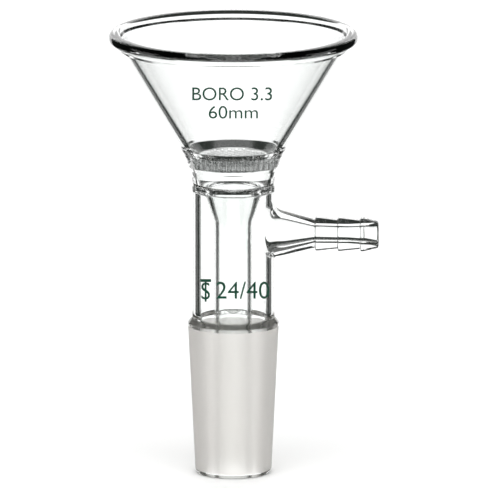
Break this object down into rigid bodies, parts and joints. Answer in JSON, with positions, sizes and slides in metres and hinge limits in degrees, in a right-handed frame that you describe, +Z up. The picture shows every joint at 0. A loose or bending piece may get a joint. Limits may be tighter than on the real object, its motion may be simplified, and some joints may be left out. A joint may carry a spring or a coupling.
{
  "type": "glass filter funnel",
  "caption": "Conical filter funnel with a fused perforated plate, jacketed drip tube, serrated vacuum side arm and a male taper ground joint.",
  "frame": {"origin": "centre of the ground joint's lower end, on the funnel's axis", "axes": "+Z up the funnel's axis towards the rim, +X along the vacuum side arm towards its tip"},
  "size_m": [0.071, 0.0654, 0.1182],
  "materials": {
    "glass_rim_bead": "clear, fire-polished",
    "glass_bowl_cone": "clear, fire-polished",
    "glass_plate_seal": "clear, fire-polished",
    "glass_perforated_plate": "clear, fire-polished",
    "glass_throat": "clear, fire-polished",
    "glass_ring_seal": "clear, fire-polished",
    "glass_drip_tube_flare": "clear, fire-polished",
    "glass_drip_tube": "clear, fire-polished",
    "glass_jacket_tube": "clear, fire-polished",
    "glass_joint_shoulder": "clear, fire-polished",
    "ground_glass": "fine-ground, frosted",
    "glass_side_arm_branch": "clear, fire-polished",
    "glass_hose_connection": "clear, fire-polished",
    "enamel_print": "fired dark green enamel"
  },
  "bodies": {
    "root": {"rim_bead": "glass_rim_bead", "bowl_cone": "glass_bowl_cone", "plate_seal": "glass_plate_seal", "perforated_plate": "glass_perforated_plate", "throat": "glass_throat", "ring_seal": "glass_ring_seal", "drip_tube_flare": "glass_drip_tube_flare", "drip_tube": "glass_drip_tube", "jacket_tube": "glass_jacket_tube", "joint_shoulder": "glass_joint_shoulder", "ground_joint": "ground_glass", "side_arm_branch": "glass_side_arm_branch", "hose_connection": "glass_hose_connection"}
  },
  "joints": []
}
